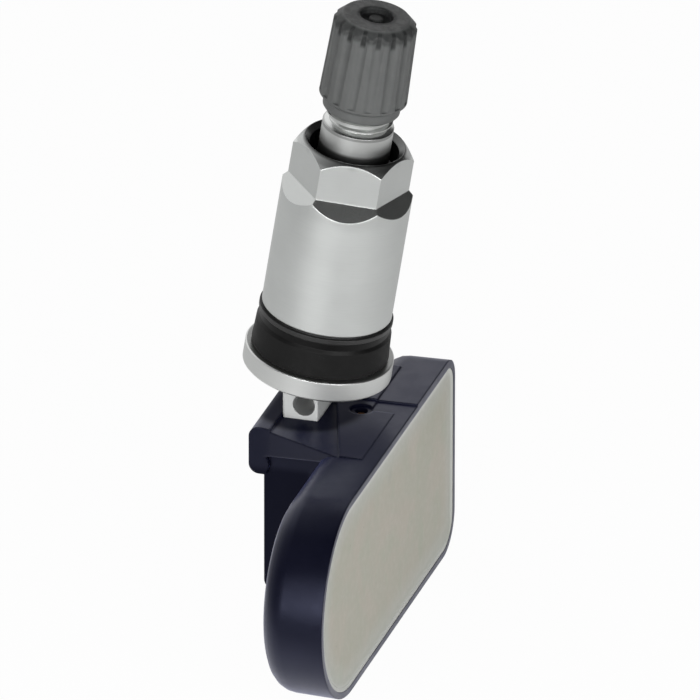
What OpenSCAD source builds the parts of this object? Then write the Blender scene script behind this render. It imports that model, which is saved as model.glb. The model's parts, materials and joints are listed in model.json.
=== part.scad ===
// Tyre pressure sensor with a clamp-in metal valve.
// The valve axis is +Z, and the origin is where it crosses the top face of the flange,
// the plane that clamps against the wheel rim. The rounded end of the housing points
// to -Y and its potted face looks towards +X. All sizes are in millimetres.

/* [Valve stem] */
// Diameter of the smooth part of the stem
stem_d = 8.2; // [7.9:0.05:8.6]
// Outside diameter of the tip thread
tip_thread_d = 7.7; // [7.3:0.05:7.85]
// Pitch of the tip thread
tip_pitch = 0.794; // [0.7:0.002:0.85]
// Radial depth of the thread that carries the sleeve nut
nut_thread_depth = 0.4; // [0.25:0.05:0.5]
// Diameter of the flange that backs the grommet
flange_d = 17.1; // [16.4:0.1:20]
// Thickness of the flange
flange_t = 2.48; // [1.8:0.02:3.2]
// Bare stem between the nut and the tip thread
bare_len = 2.6; // [1.5:0.1:6]
// Thread left showing below the cap
thread_show = 1.75; // [0.6:0.05:3]
// Diameter of the air channel
channel_d = 2.2; // [1.6:0.1:2.4]
// Diameter of the cross hole in the foot
air_hole_d = 2.6; // [1.8:0.1:2.8]

/* [Stem foot] */
// Thickness of the foot, across the potted face
foot_w = 4.2; // [3.8:0.1:4.4]
// Length of the foot, along the housing
foot_l = 6.3; // [5.6:0.1:7.2]
// Depth of the foot inside the housing
foot_depth = 5.4; // [5:0.1:6.4]
// Offset of the foot from the valve axis
foot_shift = -1.4; // [-1.6:0.05:-1.2]
// Radius on the upright edges of the foot
foot_edge_r = 0.3; // [0.1:0.05:0.6]

/* [Grommet and rim seat] */
// Diameter of the valve hole in the rim
rim_hole_d = 11.3; // [11.3:0.1:11.7]
// Height of the conical rubber seat
grommet_h = 3.6; // [3.2:0.1:6]
// Height of the rubber ring under the slide ring
lip_ring_h = 0.8; // [0.4:0.05:1.2]
// How much narrower the seat gets towards its top
grommet_taper = 0.3; // [0.1:0.1:1.4]
// Height of the neck that fills the rim hole
neck_h = 4.5; // [3:0.1:5.5]

/* [Sleeve nut] */
// Outside diameter of the skirt
skirt_d = 14.95; // [14.7:0.05:15.4]
// Length of the skirt
skirt_len = 14.6; // [13:0.1:18]
// Hexagon across its flats
hex_af = 12; // [11.6:0.1:12.6]
// Height of the hexagon above the skirt
hex_h = 6.7; // [5.6:0.1:8]
// Height of the sloping ledge between the skirt and the flats
ledge_rise = 1.7; // [0.8:0.1:2]
// Turn of the hexagon about the valve axis
hex_turn = 14; // [0:1:59]
// Depth of the open mouth around the stem
mouth_depth = 3.4; // [2:0.1:4.4]
// Countersink at the nut's mouth, in mm
mouth_chamfer = 0.6; // [0.3:0.05:0.7]
// Wall of the skirt
skirt_wall = 0.95; // [0.7:0.05:1.1]
// Free height inside the nut above the neck of the grommet
nut_relief = 2; // [1.5:0.1:3]
// Thickness of the slide ring below the skirt
slide_ring_t = 0.88; // [0.6:0.02:1.4]
// How far the slide ring stands out past the skirt
slide_ring_proud = 0.22; // [0.1:0.02:0.4]
// Height of the step that parts the ring's rim from the skirt, in mm
ring_step = 0.24; // [0.1:0.02:0.4]

/* [Cap] */
// Diameter of the cap at its foot
cap_d = 10.1; // [9.8:0.1:11.2]
// How much narrower the cap gets towards its top
cap_taper = 0.55; // [0:0.05:0.6]
// Length of the cap with its collar
cap_len = 11.85; // [11.5:0.05:16]
// Diameter of the collar below the grip
collar_d = 8.85; // [8.7:0.05:9.5]
// Height of the collar
collar_h = 1.15; // [0.6:0.05:2]
// Number of grip flutes
flutes = 16; // [10:1:24]
// Depth of a flute at the foot of the grip
flute_depth = 0.22; // [0.15:0.01:0.4]
// Extra lean that deepens the flutes toward the crown, in degrees
flute_rake = 1.1; // [0:0.1:2]
// Bevel around the crown
crown_bevel = 0.95; // [0.4:0.05:1.1]
// Thickness of the roof above the seal
cap_roof = 1.7; // [1.4:0.1:2.4]
// Thickness of the sealing disc
seal_t = 1; // [0.6:0.1:1.4]

/* [Valve core] */
// Diameter of the threaded head of the core
core_head_d = 5.1; // [4.6:0.1:5.2]
// Diameter of the core barrel
core_barrel_d = 3.5; // [3.4:0.1:3.8]
// Diameter of the pin
pin_d = 1; // [0.8:0.05:1.1]
// Stroke of the pin
pin_stroke = 1; // [0.6:0.1:1.2]
// Diameter of the spring wire
spring_wire_d = 0.3; // [0.2:0.02:0.34]
// Number of spring turns
spring_turns = 7; // [5:1:8]

/* [Housing] */
// Lean of the valve from the plane of the potted face
tilt = 9; // [6:0.5:11]
// Gap between the flange and the top of the housing
stand_off = 4.82; // [4.4:0.02:7]
// Distance from the valve to the rounded end
near_reach = 34.5; // [34:0.1:40]
// Distance from the valve to the square end
far_reach = 18; // [16.5:0.1:22]
// Height of the housing
body_h = 23.9; // [23.6:0.1:25.6]
// Thickness of the front shell
body_t = 7.6; // [7.3:0.1:8.5]
// Distance from the valve to the potted face
face_out = 10.7; // [10.4:0.1:12]
// Wall of the shell
wall = 0.8; // [0.7:0.05:1]
// Radius of the shoulder at the back of the front shell
shoulder_r = 2.8; // [1.2:0.1:2.8]
// Radius of the upper corner at the square end
far_top_r = 3; // [1.3:0.1:4]
// Radius of the lower corner at the square end
far_low_r = 4.5; // [3:0.1:6]
// Rise of the step in the top face
top_step = 0.2; // [0.1:0.05:0.5]

/* [Rear block] */
// Thickness of the block behind the front shell
block_t = 7.6; // [7.4:0.05:9]
// Distance from the valve to the near face of the block
block_near = 7; // [6.6:0.1:7.4]
// Distance from the valve to the far face of the block
block_far = 12.5; // [11:0.1:14]
// Height of the block
block_h = 20.5; // [18:0.5:21.5]
// How far the screw tab stands out behind the block
tab_out = 1.65; // [1.45:0.05:2.2]
// Height of the screw tab
tab_h = 5.8; // [5.6:0.1:7.2]
// Distance from the valve to the near face of the lip
lip_near = 7.6; // [7.5:0.1:8.4]
// Extra reach of the lip beside the potted face
lip_sweep = 4.6; // [2:0.1:6]
// Height of the lip at the back
lip_h = 3.6; // [3:0.1:5]

/* [Retaining screw] */
// Diameter of the screw shank
screw_d = 2.4; // [2:0.1:2.6]
// Diameter of the screw head
screw_head_d = 4.4; // [4:0.1:4.6]
// Thickness of the screw head
screw_head_t = 1.15; // [0.9:0.05:1.3]
// Length of the screw under its head
screw_len = 4.4; // [3.4:0.1:4.8]

/* [Electronics] */
// Diameter of the coin cell
cell_d = 16; // [12.5:0.5:20]
// Thickness of the coin cell
cell_t = 3.2; // [1.6:0.1:3.2]
// Room between the coin cell and the wall of the rounded end
cell_room = 1.1; // [0.4:0.1:1.4]
// Thickness of the circuit board
board_t = 0.8; // [0.6:0.1:1]
// Length of the circuit board
board_len = 27; // [25:0.5:27]
// Thickness of the battery tabs
tab_strip_t = 0.15; // [0.1:0.01:0.2]
// Width of the battery tabs
tab_strip_w = 3; // [2:0.1:4]
// Side of the control chip
control_side = 7; // [5:0.5:8]
// Thickness of the control chip
control_t = 1.4; // [0.9:0.1:1.6]
// Length of the ferrite bobbin
bobbin_len = 10; // [8:0.5:11]
// Thickness of the ferrite bobbin
bobbin_t = 4; // [3:0.1:4.4]
// Thickness of the antenna wire
antenna_d = 0.9; // [0.6:0.05:1]
// Diameter of the pressure port
port_d = 1.5; // [1:0.1:1.6]
// Distance from the valve to the pressure port, across the face
port_out = 4.8; // [4.6:0.05:4.95]
// How far the potting lies below the rim of the shell
pot_recess = 0.12; // [0.05:0.01:0.3]

/* [Fits] */
// Radial clearance of a thread or a running fit
run_gap = 0.05; // [0.03:0.01:0.08]
// Clearance between faces that seat on each other
seat_gap = 0.02; // [0.01:0.01:0.04]
// Clearance around the foot in its pocket
pocket_gap = 0.08; // [0.04:0.01:0.15]
// Skin of clearance around what the potting holds
pot_gap = 0.03; // [0.02:0.01:0.05]

/* [Hidden] */
$fn = 72;

// A little more than a cut needs, so that it breaks through a face
over = 0.5;

// Levels on the valve axis, from the flange up
ring_z = grommet_h + lip_ring_h + seat_gap;
skirt_z = ring_z + slide_ring_t + seat_gap;
hex_z = skirt_z + skirt_len;
hex_top = hex_z + hex_h;
tip_thread_z = hex_top + bare_len;
cap_z = tip_thread_z + thread_show;
cap_top = cap_z + cap_len;
seal_z = cap_top - cap_roof - seat_gap - seal_t;
tip_z = seal_z - seat_gap;
neck_top = grommet_h + lip_ring_h + neck_h;
nut_thread_top = hex_top - mouth_depth;
nut_thread_z = neck_top + nut_relief;

// Diameters that follow from the stem and the rim hole
tip_minor_d = tip_thread_d - 1.08 * tip_pitch;
nut_thread_d = stem_d + 2 * nut_thread_depth;
stem_collar_d = nut_thread_d + 0.5;
neck_d = rim_hole_d - 2 * run_gap;
grommet_d = flange_d - 1.3;
lip_ring_d = grommet_d - grommet_taper - 0.5;
ring_bore_d = neck_d + 0.4;
skirt_bore_d = skirt_d - 2 * skirt_wall;
slide_ring_d = skirt_d + 2 * slide_ring_proud;
mouth_d = nut_thread_d + 1.2;

// Valve core, measured down from the tip of the stem
core_top = tip_z - 0.7;
head_len = 4.2;
core_neck_z = core_top - head_len;
gasket_top = core_neck_z - 1;
gasket_h = 1.9;
barrel_top = gasket_top - gasket_h;
barrel_len = 5.4;
barrel_z = barrel_top - barrel_len;
core_bore_d = core_head_d + 2 * run_gap;
seat_bore_d = core_barrel_d + 0.7;
barrel_wall = 0.35;
barrel_bore_d = core_barrel_d - 2 * barrel_wall;
gasket_low_d = seat_bore_d - 2 * run_gap;
gasket_groove_d = core_barrel_d;
ledge_t = 0.6;
spring_z = barrel_z + ledge_t + seat_gap;
collar_under = barrel_top + 0.4;
spring_mean_d = pin_d + 2 * run_gap + 0.3 + spring_wire_d;
plunger_d = core_barrel_d - 0.2;
plunger_t = 0.7;
cup_t = 0.9;
cup_top = barrel_z - seat_gap;
plunger_z = cup_top - cup_t - plunger_t;
chamber_z = plunger_z - pin_stroke - 1.4;

// Housing frame: X runs out of the potted face, Y towards the square end, Z up its height
top_h = -(flange_t + stand_off);
low_h = top_h - body_h;
mid_h = top_h - body_h / 2;
near_r = body_h / 2;
near_y = -(near_reach - near_r);
shell_back = face_out - body_t;
floor_x = shell_back + 1.2;
block_back = shell_back - block_t;
tab_back = block_back - tab_out;
step_y = foot_l / 2;
air_hole_z = -(flange_t + stand_off * 0.742);

// Foot of the stem and its pocket
foot_x = foot_shift - foot_w / 2;
foot_low = top_h - foot_depth;
pocket_x0 = foot_x - pocket_gap;
pocket_x1 = foot_x + foot_w + pocket_gap;
pocket_y = foot_l / 2 + pocket_gap;
screw_h = top_h - tab_h / 2 - 0.1;
head_under = tab_back + screw_head_t + 0.1;

// Electronics
cell_x = floor_x + 0.2 + tab_strip_t;
cell_y = -near_reach + wall + cell_room + cell_d / 2;
board_x = floor_x + 1.95;
board_far = far_reach - wall - 0.4;
board_y = board_far - board_len;
board_h = body_h - 2 * wall - 0.6;
board_z = mid_h - board_h / 2;
board_front = board_x + board_t;
deep_top = foot_low - 1.4;
deep_low = top_h - block_h + 1.2;
deep_x = block_back + 1.2;
deep_y0 = -(block_near - 1.2);
deep_y1 = block_far - 1.2;
chip_pocket_x = pocket_x1 + 1.1;
port_y = 0.5;
chip_size = [3.3, 5.6, 5.2];
nozzle_d = port_d + 1;
port_top = top_h - wall;
gasket_len = 0.7;
nozzle_top = port_top - gasket_len;
nozzle_len = 0.9;
chip_top = nozzle_top - nozzle_len;
pot_x = face_out - pot_recess;
control_z = chip_top - chip_size[2] - 0.9 - control_side;
crystal_size = [1.2, 5, 3.2];
capacitor_size = [0.8, 1.6, 0.8];
bobbin_end = 1.6;
bobbin_low = [board_x - bobbin_t, port_y - bobbin_t / 2, deep_low + 0.6 * bobbin_t];

// Puts its children into the frame of the housing
module leaned() {
    rotate([0, -tilt, 0]) children();
}

// A profile of [radius, height] points turned about the valve axis
module turned(points) {
    rotate_extrude() polygon(points);
}

// A cylinder that lies along Y, centred on a point
module cross_bar(d, len) {
    rotate([90, 0, 0]) cylinder(d = d, h = len, center = true);
}

// Sits a flat outline, drawn as [along Y, up Z], on edge and gives it a depth along X
module on_edge(x, depth) {
    translate([x, 0, 0]) rotate([90, 0, 90]) linear_extrude(depth) children();
}

// Upright bar with rounded edges, from its lowest corner
module rounded_bar(size, r) {
    translate([r, 0, 0]) cube([size[0] - 2 * r, size[1], size[2]]);
    translate([0, r, 0]) cube([size[0], size[1] - 2 * r, size[2]]);
    for (x = [r, size[0] - r], y = [r, size[1] - r])
        translate([x, y, 0]) cylinder(r = r, h = size[2], $fn = 32);
}

// Outline of the shell, drawn in by an inset: a round near end and two rounded corners
module shell_outline(inset, top = 0) {
    far = far_reach - inset;
    high = top_h + top - inset;
    low = low_h + inset;
    rt = max(far_top_r - inset, 0.4);
    rb = max(far_low_r - inset, 0.4);
    if (top == 0) translate([near_y, mid_h]) circle(r = near_r - inset);
    start = top == 0 ? near_y : step_y;
    translate([start, low]) square([far - rb - start, high - low]);
    translate([start, low + rb]) square([far - start, high - low - rt - rb]);
    translate([start, mid_h]) square([far - rt - start, high - mid_h]);
    translate([far - rt, high - rt]) circle(r = rt);
    translate([far - rb, low + rb]) circle(r = rb);
}

// Front shell, solid: one hull with a rounded shoulder at its back
module shell_body(top = 0) {
    steps = 5;
    slice = 0.01;
    hull() {
        on_edge(face_out - slice, slice) shell_outline(0, top);
        for (i = [0 : steps]) {
            a = 90 * i / steps;
            x = shell_back + shoulder_r * (1 - sin(a));
            inset = 0.12 + shoulder_r * (1 - cos(a));
            on_edge(x, slice) shell_outline(inset, top);
        }
    }
}

// Block behind the shell that carries the foot of the valve
module rear_block() {
    edge = 1.2;
    length = block_near + block_far;
    height = block_h;
    translate([block_back, -block_near, top_h - height + edge])
        cube([block_t + shoulder_r, length, height - edge]);
    translate([block_back + edge, -block_near, top_h - height])
        cube([block_t + shoulder_r - edge, length, edge + over]);
    translate([block_back + edge, -block_near + length / 2, top_h - height + edge])
        cross_bar(2 * edge, length);
    step_len = length - (step_y + block_near);
    translate([block_back, step_y, top_h - over])
        cube([block_t + shoulder_r, step_len, over + top_step]);
}

// Tab behind the block, around the retaining screw
module screw_tab() {
    edge = 1.2;
    inner = block_back + over;
    foot = top_h - tab_h;
    rotate([90, 0, 0]) linear_extrude(2 * lip_near, center = true) {
        polygon([
            [inner, top_h], [tab_back + edge, top_h], [tab_back + edge, top_h - edge],
            [tab_back, top_h - edge], [tab_back, foot + edge], [tab_back + edge, foot + edge],
            [tab_back + edge, foot], [inner, foot]]);
        for (z = [foot + edge, top_h - edge]) translate([tab_back + edge, z]) circle(r = edge);
    }
}

// Lip along the near edge of the top face, which thins out towards the potted face
module near_lip() {
    bend = 5.5;
    blend = face_out - 2;
    intersection() {
        translate([0, 0, top_h - lip_h]) linear_extrude(lip_h) polygon([
            [block_back, over], [block_back, -lip_near], [foot_x, -lip_near - 0.3],
            [bend, -lip_near - lip_sweep], [blend, -lip_near - lip_sweep], [blend, over]]);
        translate([0, over, 0]) rotate([90, 0, 0]) linear_extrude(lip_near + lip_sweep + over)
            polygon([
                [block_back, top_h], [blend, top_h], [blend, top_h - 0.15],
                [block_back, top_h - lip_h]]);
    }
}

// Shallow recess in the top face around the foot, which widens towards the near edge
module foot_ramp() {
    sink = 0.45;
    rim = 0.12;
    flare = 0.32;
    reach = lip_near + lip_sweep;
    x1 = pocket_x1 + 0.3;
    intersection() {
        translate([0, 0, top_h - 1]) linear_extrude(2) polygon([
            [pocket_x0, step_y], [x1, step_y], [x1 + flare * (reach + step_y), -reach],
            [pocket_x0, -reach]]);
        on_edge(pocket_x0 - over, 20) polygon([
            [step_y, top_h + over], [step_y, top_h - sink], [-step_y, top_h - sink],
            [-reach, top_h - rim], [-reach, top_h + over]]);
    }
}

// Space inside the shell, kept clear of its walls by a gap
module shell_space(gap, front) {
    on_edge(floor_x + gap, front - floor_x - gap) shell_outline(wall + gap);
}

// Deep space in the rear block, below the foot and beside it
module deep_space(gap) {
    translate([deep_x + gap, deep_y0 + gap, deep_low + gap])
        cube([floor_x - deep_x + 0.6, deep_y1 - deep_y0 - 2 * gap, deep_top - deep_low - 2 * gap]);
    translate([chip_pocket_x + gap, port_y - chip_size[1] / 2 - 0.6 + gap, deep_top - over])
        cube([floor_x - chip_pocket_x + 0.6, chip_size[1] + 1.2 - 2 * gap,
              chip_top + 0.2 - deep_top + over - gap]);
}

module housing() {
    color("midnightblue") leaned() difference() {
        union() {
            shell_body();
            shell_body(top_step);
            rear_block();
            screw_tab();
            near_lip();
        }
        shell_space(0, face_out + over);
        deep_space(0);
        port_sleeve(pot_gap, 0);
        foot_ramp();
        translate([pocket_x0, -pocket_y, foot_low - pocket_gap])
            cube([pocket_x1 - pocket_x0, 2 * pocket_y, foot_depth + 2]);
        translate([tab_back - over, 0, screw_h]) rotate([0, 90, 0])
            cylinder(d = screw_d + 0.3, h = foot_x - tab_back + over + 0.2);
        translate([tab_back - over, 0, screw_h]) rotate([0, 90, 0])
            cylinder(d = screw_head_d + 0.3, h = head_under - tab_back + over + seat_gap);
        translate([port_out, port_y, port_top - over])
            cylinder(d = port_d, h = wall + 2 * over);
        translate([port_out, port_y, top_h - 0.25])
            cylinder(d = port_d + 1.2, h = 1);
    }
}

// Potting compound: it fills the shell around the electronics
module potting() {
    color("tan") leaned() difference() {
        union() {
            shell_space(pot_gap, pot_x);
            deep_space(pot_gap);
        }
        battery_shape(pot_gap);
        board_shape(pot_gap);
        tab_plus_shape(pot_gap);
        tab_minus_shape(pot_gap);
        sensor_shape(pot_gap);
        port_sleeve(pot_gap, over);
        chip_shape(pot_gap);
        crystal_shape(pot_gap);
        capacitor_shapes(pot_gap);
        ferrite_shape(pot_gap);
        winding_shape(pot_gap);
        antenna_shape(pot_gap);
    }
}

// A box grown by a gap on all sides
module grown_box(low, size, gap) {
    translate([low[0] - gap, low[1] - gap, low[2] - gap])
        cube([size[0] + 2 * gap, size[1] + 2 * gap, size[2] + 2 * gap]);
}

module board_shape(gap) {
    grown_box([board_x, board_y, board_z + 2], [board_t, board_len, board_h - 4], gap);
    grown_box([board_x, board_y, board_z], [board_t, board_len - far_low_r, board_h], gap);
}

module circuit_board() {
    color("darkgreen") leaned() board_shape(0);
}

module battery_shape(gap) {
    rim = 0.5;
    translate([cell_x - gap, cell_y, mid_h]) rotate([0, 90, 0])
        cylinder(d = cell_d + 2 * gap, h = cell_t - rim + 2 * gap);
    translate([cell_x - gap, cell_y, mid_h]) rotate([0, 90, 0])
        cylinder(d = cell_d - 2 + 2 * gap, h = cell_t + 2 * gap);
}

module battery() {
    color("silver") leaned() battery_shape(0);
}

// Strip welded to the front of the cell and soldered to the front of the board
module tab_plus_shape(gap) {
    top_x = cell_x + cell_t;
    drop_y = board_y + 0.2;
    z = mid_h - tab_strip_w / 2;
    grown_box([top_x, cell_y, z], [tab_strip_t, drop_y - cell_y + tab_strip_t, tab_strip_w], gap);
    grown_box([board_front, drop_y, z],
        [top_x - board_front + tab_strip_t, tab_strip_t, tab_strip_w], gap);
    grown_box([board_front, drop_y, z], [tab_strip_t, tab_strip_w * 0.7, tab_strip_w], gap);
}

module battery_tab_plus() {
    color("lightgray") leaned() tab_plus_shape(0);
}

// Strip under the cell that steps up to the back of the board
module tab_minus_shape(gap) {
    z = mid_h - tab_strip_w * 2;
    low_x = cell_x - tab_strip_t;
    rise_y = board_y + 0.4;
    grown_box([low_x, cell_y, z], [tab_strip_t, rise_y - cell_y + tab_strip_t, tab_strip_w], gap);
    grown_box([low_x, rise_y, z], [board_x - low_x, tab_strip_t, tab_strip_w], gap);
    grown_box([board_x - tab_strip_t, rise_y, z],
        [tab_strip_t, tab_strip_w * 0.7, tab_strip_w], gap);
}

module battery_tab_minus() {
    color("lightgray") leaned() tab_minus_shape(0);
}

// Pressure sensor on the back of the board, with a nozzle below the port
module sensor_shape(gap) {
    grown_box([board_x - chip_size[0], port_y - chip_size[1] / 2, chip_top - chip_size[2]],
        chip_size, gap);
    translate([port_out, port_y, chip_top - gap])
        cylinder(d = nozzle_d + 2 * gap, h = nozzle_len + gap);
}

module pressure_sensor() {
    color("dimgray") leaned() difference() {
        sensor_shape(0);
        translate([port_out, port_y, chip_top - 1])
            cylinder(d = port_d - 0.5, h = nozzle_len + 2);
    }
}

// Soft sleeve between the nozzle and the roof of the housing
module port_sleeve(gap, past) {
    translate([port_out, port_y, chip_top])
        cylinder(d = nozzle_d + 0.4 + 2 * gap, h = port_top - chip_top + past);
}

module port_gasket() {
    color("orange") leaned() translate([port_out, port_y, nozzle_top + seat_gap]) difference() {
        cylinder(d = nozzle_d + 0.4, h = gasket_len - 2 * seat_gap);
        translate([0, 0, -over]) cylinder(d = port_d, h = gasket_len + 2 * over);
    }
}

module chip_shape(gap) {
    grown_box([board_front, port_y, control_z], [control_t, control_side, control_side], gap);
}

module control_chip() {
    color("black") leaned() chip_shape(0);
}

module crystal_shape(gap) {
    grown_box([board_front, port_y - crystal_size[1] - 0.8, control_z - crystal_size[2] / 2],
        crystal_size, gap);
}

module crystal() {
    color("gainsboro") leaned() crystal_shape(0);
}

// Two rows of small capacitors above the control chip
module capacitor_shapes(gap) {
    z = control_z + control_side + 2;
    for (row = [0 : 1], i = [0 : 3])
        grown_box([board_front, port_y + i * capacitor_size[1] * 1.6, z + row * capacitor_size[2] * 2],
            capacitor_size, gap);
}

module capacitors() {
    color("peru") leaned() capacitor_shapes(0);
}

// Ferrite bobbin of the low frequency receiver, behind the board
module ferrite_shape(gap) {
    low = bobbin_low;
    end = [bobbin_t, bobbin_end, bobbin_t];
    grown_box(low, end, gap);
    grown_box([low[0], low[1] + bobbin_len - bobbin_end, low[2]], end, gap);
    grown_box([low[0] + bobbin_t / 4, low[1], low[2] + bobbin_t / 4],
        [bobbin_t / 2, bobbin_len, bobbin_t / 2], gap);
}

module ferrite_core() {
    color("darkslategray") leaned() ferrite_shape(0);
}

// Copper winding wrapped around the middle of the bobbin
module winding_shape(gap) {
    low = bobbin_low;
    skin = bobbin_t / 10;
    room = 0.1;
    grown_box([low[0] + skin, low[1] + bobbin_end + room, low[2] + skin],
        [bobbin_t - 2 * skin, bobbin_len - 2 * (bobbin_end + room), bobbin_t - 2 * skin], gap);
}

module coil_winding() {
    low = bobbin_low;
    color("orangered") leaned() difference() {
        winding_shape(0);
        grown_box([low[0] + bobbin_t / 4, low[1], low[2] + bobbin_t / 4],
            [bobbin_t / 2, bobbin_len, bobbin_t / 2], pot_gap);
    }
}

// Transmitter loop that stands on the front of the board near the square end
module antenna_shape(gap) {
    d = antenna_d;
    y0 = board_far - 6 * d;
    y1 = board_far - 2 * d;
    z = control_z - d;
    top_x = pot_x - d - 0.1;
    for (y = [y0, y1])
        translate([board_front - gap, y, z]) rotate([0, 90, 0])
            cylinder(d = d + 2 * gap, h = top_x - board_front + gap, $fn = 24);
    translate([top_x, y0 - d / 2 - gap, z]) rotate([-90, 0, 0])
        cylinder(d = d + 2 * gap, h = y1 - y0 + d + 2 * gap, $fn = 24);
}

module antenna() {
    color("goldenrod") leaned() antenna_shape(0);
}

// Retaining screw with a six-lobed socket, from behind the tab into the foot
module foot_screw() {
    socket = 1.9;
    color("lightsteelblue") leaned() translate([head_under, 0, screw_h]) rotate([0, 90, 0]) difference() {
        union() {
            translate([0, 0, -screw_head_t]) cylinder(d = screw_head_d, h = screw_head_t);
            cylinder(d = screw_d, h = screw_len - 0.4);
            translate([0, 0, screw_len - 0.4]) cylinder(d1 = screw_d, d2 = screw_d - 0.7, h = 0.4);
        }
        translate([0, 0, -screw_head_t - over]) linear_extrude(over + 0.8) {
            circle(d = socket);
            for (i = [0 : 5]) rotate(i * 60) translate([socket / 2, 0]) circle(d = 0.6, $fn = 24);
        }
    }
}

// Stem, flange and foot in one turned and milled piece
module valve_stem() {
    chamfer = 0.25;
    flange_r = flange_d / 2;
    color("silver") difference() {
        union() {
            turned([
                [0, -flange_t], [flange_r - chamfer, -flange_t], [flange_r, -flange_t + chamfer],
                [flange_r, -0.12], [flange_r - 0.12, 0], [stem_collar_d / 2, 0],
                [stem_collar_d / 2, neck_top - 0.3], [nut_thread_d / 2, neck_top],
                [nut_thread_d / 2, nut_thread_top - 0.6], [stem_d / 2, nut_thread_top - 0.2],
                [stem_d / 2, tip_thread_z - 0.2], [tip_minor_d / 2, tip_thread_z + 0.2],
                [tip_minor_d / 2, tip_z - 0.4], [tip_minor_d / 2 - 0.35, tip_z], [0, tip_z]]);
            leaned() translate([foot_x, -foot_l / 2, foot_low])
                rounded_bar([foot_w, foot_l, foot_depth + stand_off + flange_t / 2], foot_edge_r);
        }
        stem_bore();
        translate([0, 0, air_hole_z]) cross_bar(air_hole_d, foot_l + 2);
        leaned() translate([foot_x - over, 0, screw_h]) rotate([0, 90, 0])
            cylinder(d = screw_d + 2 * run_gap, h = screw_len - 1.1 + over);
    }
}

// Stepped bore that takes the valve core and leads the air to the cross hole
module stem_bore() {
    turned([
        [0, air_hole_z], [channel_d / 2, air_hole_z], [channel_d / 2, chamber_z],
        [seat_bore_d / 2, chamber_z + 0.8], [seat_bore_d / 2, gasket_top - 1],
        [core_bore_d / 2, gasket_top], [core_bore_d / 2, tip_z - 0.3],
        [core_bore_d / 2 + 0.25, tip_z + 0.05], [0, tip_z + 0.05]]);
}

// Conical rubber seat with a neck that fills the rim hole
module grommet() {
    low_r = grommet_d / 2;
    top_r = low_r - grommet_taper / 2;
    bore_r = stem_collar_d / 2 + run_gap;
    color("darkslategray") turned([
        [bore_r, seat_gap], [low_r - 0.2, seat_gap], [low_r - 0.06, 0.16], [low_r, 0.3],
        [top_r, grommet_h - 0.4], [lip_ring_d / 2, grommet_h],
        [lip_ring_d / 2, grommet_h + lip_ring_h], [neck_d / 2, grommet_h + lip_ring_h],
        [neck_d / 2, neck_top - 0.5], [neck_d / 2 - 0.4, neck_top - 0.3], [bore_r, neck_top - 0.3]]);
}

// Slide ring: it lets the nut turn without dragging on the rubber
module slide_ring() {
    spigot_h = 1.6;
    rim_top = ring_z + slide_ring_t - ring_step;
    color("dimgray") turned([
        [ring_bore_d / 2, ring_z], [slide_ring_d / 2 - 0.15, ring_z],
        [slide_ring_d / 2, ring_z + 0.15], [slide_ring_d / 2, rim_top],
        [slide_ring_d / 2 - 0.5, rim_top], [slide_ring_d / 2 - 0.5, ring_z + slide_ring_t],
        [skirt_bore_d / 2 - run_gap, ring_z + slide_ring_t],
        [skirt_bore_d / 2 - run_gap, ring_z + slide_ring_t + spigot_h],
        [ring_bore_d / 2, ring_z + slide_ring_t + spigot_h]]);
}

// Cutter for one flat of the hexagon and the sloping facet below it
module flat_cutter() {
    reach = 1.5;
    out = hex_af / 2 + reach * (skirt_d - hex_af) / 2;
    rotate([90, 0, 0]) linear_extrude(skirt_d, center = true) polygon([
        [hex_af / 2, hex_top + over], [hex_af / 2, hex_z + ledge_rise],
        [out, hex_z + ledge_rise * (1 - reach)], [out, hex_top + over]]);
}

// Sleeve nut: a long skirt below a hexagon, with a sloping facet under each flat
module sleeve_nut() {
    bevel = 1.85;
    rim_r = mouth_d / 2 + mouth_chamfer;
    color("gainsboro") difference() {
        turned([
            [0, skirt_z], [skirt_d / 2 - 0.15, skirt_z], [skirt_d / 2, skirt_z + 0.15],
            [skirt_d / 2, hex_top - bevel], [hex_af / 2 - 0.2, hex_top], [0, hex_top]]);
        for (i = [0 : 5]) rotate(hex_turn + 30 + 60 * i) flat_cutter();
        turned([
            [0, skirt_z - over], [skirt_bore_d / 2, skirt_z - over],
            [skirt_bore_d / 2, nut_thread_z - 1.2], [nut_thread_d / 2 + run_gap, nut_thread_z],
            [nut_thread_d / 2 + run_gap, nut_thread_top], [mouth_d / 2, nut_thread_top + 0.3],
            [mouth_d / 2, hex_top - mouth_chamfer], [rim_r, hex_top], [rim_r, hex_top + over],
            [0, hex_top + over]]);
    }
}

// Screw-on cap with a fluted grip, a bevelled crown and a round recess in its top
module valve_cap() {
    grip_z = cap_z + collar_h + 0.5;
    foot_r = cap_d / 2;
    top_r = foot_r - cap_taper / 2;
    flute_r = 0.8;
    bore_r = tip_thread_d / 2 + 2 * run_gap;
    roof_z = cap_top - cap_roof;
    lean = atan(cap_taper / 2 / (cap_top - grip_z));
    color("gray") difference() {
        turned([
            [0, cap_z], [collar_d / 2 - 0.15, cap_z], [collar_d / 2, cap_z + 0.2],
            [collar_d / 2, cap_z + collar_h], [foot_r, grip_z], [top_r, cap_top - crown_bevel],
            [top_r - crown_bevel, cap_top], [0, cap_top]]);
        for (i = [0 : flutes - 1])
            rotate(360 * i / flutes) translate([foot_r + flute_r - flute_depth, 0, grip_z + 0.3])
                rotate([0, -lean - flute_rake, 0]) cylinder(r = flute_r, h = cap_len, $fn = 24);
        turned([[0, cap_z - over], [bore_r, cap_z - over], [bore_r, roof_z], [0, roof_z]]);
        turned([[0.8, cap_top - 0.7], [1.9, cap_top - 0.7], [2, cap_top + over], [0.8, cap_top + over]]);
        turned([[0, cap_top - 0.35], [1, cap_top - 0.35], [1, cap_top + over], [0, cap_top + over]]);
    }
}

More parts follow.
